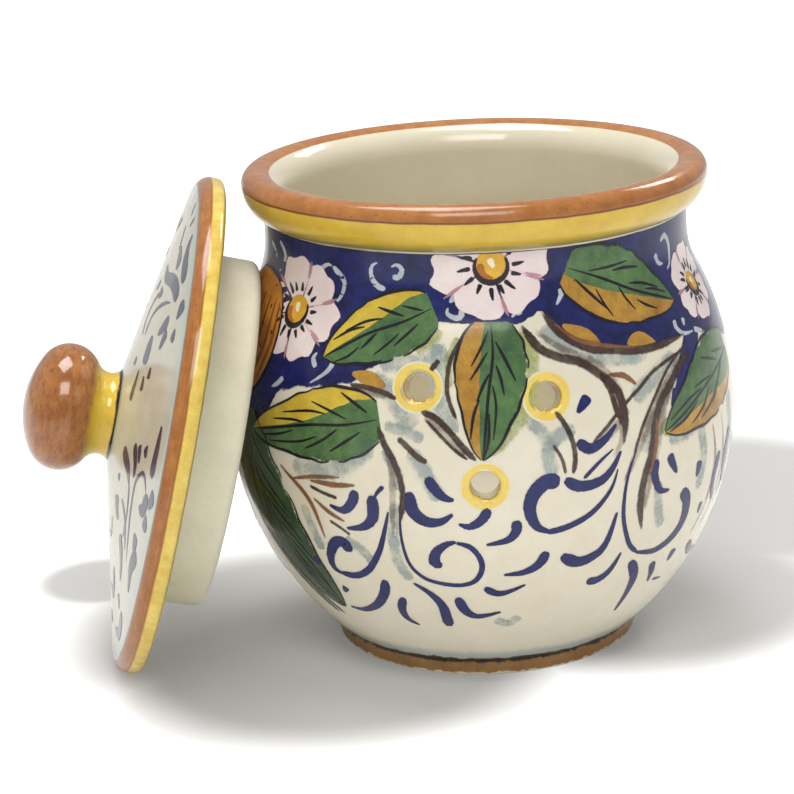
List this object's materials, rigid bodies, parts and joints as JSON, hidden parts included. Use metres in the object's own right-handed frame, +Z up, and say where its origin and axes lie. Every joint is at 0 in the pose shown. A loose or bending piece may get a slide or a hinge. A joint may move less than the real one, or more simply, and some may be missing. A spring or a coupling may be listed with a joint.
{
  "type": "garlic keeper",
  "caption": "Round-bellied glazed earthenware keeper with a rolled rim, pierced vents and a knobbed, flanged lid leaning against its side.",
  "frame": {"origin": "centre of the jar's foot, on the surface it stands on", "axes": "+Z up along the jar's axis; -Y out through the middle of the front vents; the lid leans on the -X side"},
  "size_m": [0.2034, 0.1631, 0.1399],
  "materials": {
    "jar_glaze": "glossy tin glaze with painted flowers, leaves and scrolls",
    "lid_glaze": "glossy tin glaze with painted strokes and an orange and yellow edge",
    "knob_glaze": "glossy glaze, sponged orange brown over a yellow neck"
  },
  "bodies": {
    "jar": {"jar": "jar_glaze"},
    "lid": {"lid": "lid_glaze", "lid_knob": "knob_glaze"}
  },
  "joints": [
    {"name": "lid_lift", "type": "slide", "parent": "jar", "child": "lid", "axis": [-0.9641, -0.1133, 0.2402], "range_m": [0, 0.12]}
  ]
}
